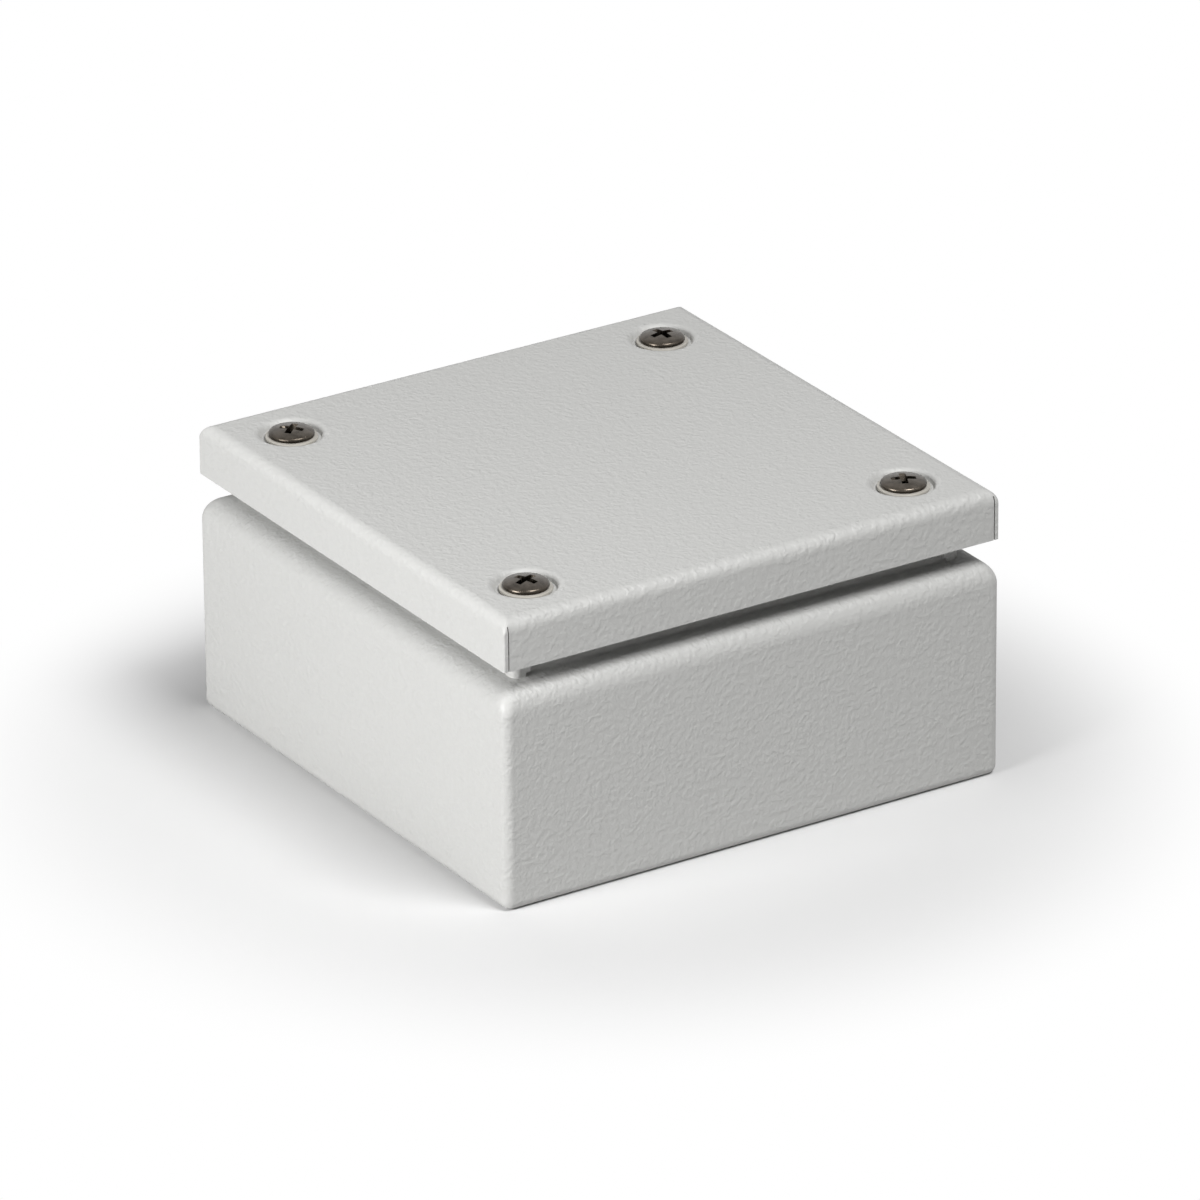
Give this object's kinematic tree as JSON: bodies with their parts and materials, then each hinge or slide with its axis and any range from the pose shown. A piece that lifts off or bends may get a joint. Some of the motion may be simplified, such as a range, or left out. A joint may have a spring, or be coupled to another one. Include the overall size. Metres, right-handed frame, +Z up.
{
  "type": "steel installation enclosure",
  "caption": "Square painted sheet-steel terminal box with a raised collar and a gasketed cover held by corner screws.",
  "frame": {"origin": "middle of the base, on the face that the box stands on", "axes": "+Z up, out of the base towards the cover; -Y is the front; +X to the right seen from the front"},
  "size_m": [0.15, 0.15, 0.0813],
  "materials": {
    "powder_coat": "light grey orange-peel powder coat",
    "zinc_plate": "bright zinc plate",
    "copper_plate": "thin copper plate on steel",
    "screw_steel": "dark bright steel",
    "white_nylon": "natural nylon",
    "sealing_foam": "foamed-in-place polyurethane"
  },
  "bodies": {
    "enclosure": {"body_shell": "powder_coat", "collar_corner_back_left": "powder_coat", "collar_corner_back_right": "powder_coat", "collar_corner_front_left": "powder_coat", "collar_corner_front_right": "powder_coat", "earth_nut": "zinc_plate", "earth_stud": "copper_plate", "earth_washer": "zinc_plate", "mounting_plate": "zinc_plate", "plate_nut_back_left": "zinc_plate", "plate_nut_back_right": "zinc_plate", "plate_nut_front_left": "zinc_plate", "plate_nut_front_right": "zinc_plate", "plate_spacer_back_left": "zinc_plate", "plate_spacer_back_right": "zinc_plate", "plate_spacer_front_left": "zinc_plate", "plate_spacer_front_right": "zinc_plate", "plate_stud_back_left": "copper_plate", "plate_stud_back_right": "copper_plate", "plate_stud_front_left": "copper_plate", "plate_stud_front_right": "copper_plate", "screw_bracket_back_left": "powder_coat", "screw_bracket_back_right": "powder_coat", "screw_bracket_front_left": "powder_coat", "screw_bracket_front_right": "powder_coat", "weld_nut_back_left": "zinc_plate", "weld_nut_back_right": "zinc_plate", "weld_nut_front_left": "zinc_plate", "weld_nut_front_right": "zinc_plate"},
    "cover": {"cover_shell": "powder_coat", "cover_gasket": "sealing_foam", "cover_earth_stud": "copper_plate", "cover_earth_washer": "zinc_plate", "cover_earth_nut": "zinc_plate"},
    "seal_front_left": {"sealing_washer_front_left": "white_nylon"},
    "screw_front_left": {"cover_screw_front_left": "screw_steel"},
    "seal_front_right": {"sealing_washer_front_right": "white_nylon"},
    "screw_front_right": {"cover_screw_front_right": "screw_steel"},
    "seal_back_left": {"sealing_washer_back_left": "white_nylon"},
    "screw_back_left": {"cover_screw_back_left": "screw_steel"},
    "seal_back_right": {"sealing_washer_back_right": "white_nylon"},
    "screw_back_right": {"cover_screw_back_right": "screw_steel"}
  },
  "joints": [
    {"name": "cover_lift", "type": "slide", "parent": "enclosure", "child": "cover", "axis": [0, 0, 1], "range_m": [0, 0.08]},
    {"name": "seal_lift_front_left", "type": "slide", "parent": "cover", "child": "seal_front_left", "axis": [0, 0, 1], "range_m": [0, 0.006]},
    {"name": "screw_turn_front_left", "type": "hinge", "parent": "seal_front_left", "child": "screw_front_left", "pos_m": [-0.057, -0.057, 0.0798], "axis": [0, 0, 1], "range_deg": [0, 2160]},
    {"name": "seal_lift_front_right", "type": "slide", "parent": "cover", "child": "seal_front_right", "axis": [0, 0, 1], "range_m": [0, 0.006]},
    {"name": "screw_turn_front_right", "type": "hinge", "parent": "seal_front_right", "child": "screw_front_right", "pos_m": [0.057, -0.057, 0.0798], "axis": [0, 0, 1], "range_deg": [0, 2160]},
    {"name": "seal_lift_back_left", "type": "slide", "parent": "cover", "child": "seal_back_left", "axis": [0, 0, 1], "range_m": [0, 0.006]},
    {"name": "screw_turn_back_left", "type": "hinge", "parent": "seal_back_left", "child": "screw_back_left", "pos_m": [-0.057, 0.057, 0.0798], "axis": [0, 0, 1], "range_deg": [0, 2160]},
    {"name": "seal_lift_back_right", "type": "slide", "parent": "cover", "child": "seal_back_right", "axis": [0, 0, 1], "range_m": [0, 0.006]},
    {"name": "screw_turn_back_right", "type": "hinge", "parent": "seal_back_right", "child": "screw_back_right", "pos_m": [0.057, 0.057, 0.0798], "axis": [0, 0, 1], "range_deg": [0, 2160]}
  ],
  "couplings": [
    {"joint": "screw_turn_front_left", "follows": "seal_lift_front_left", "rad_per_m": 6283.2},
    {"joint": "screw_turn_front_right", "follows": "seal_lift_front_right", "rad_per_m": 6283.2},
    {"joint": "screw_turn_back_left", "follows": "seal_lift_back_left", "rad_per_m": 6283.2},
    {"joint": "screw_turn_back_right", "follows": "seal_lift_back_right", "rad_per_m": 6283.2}
  ]
}
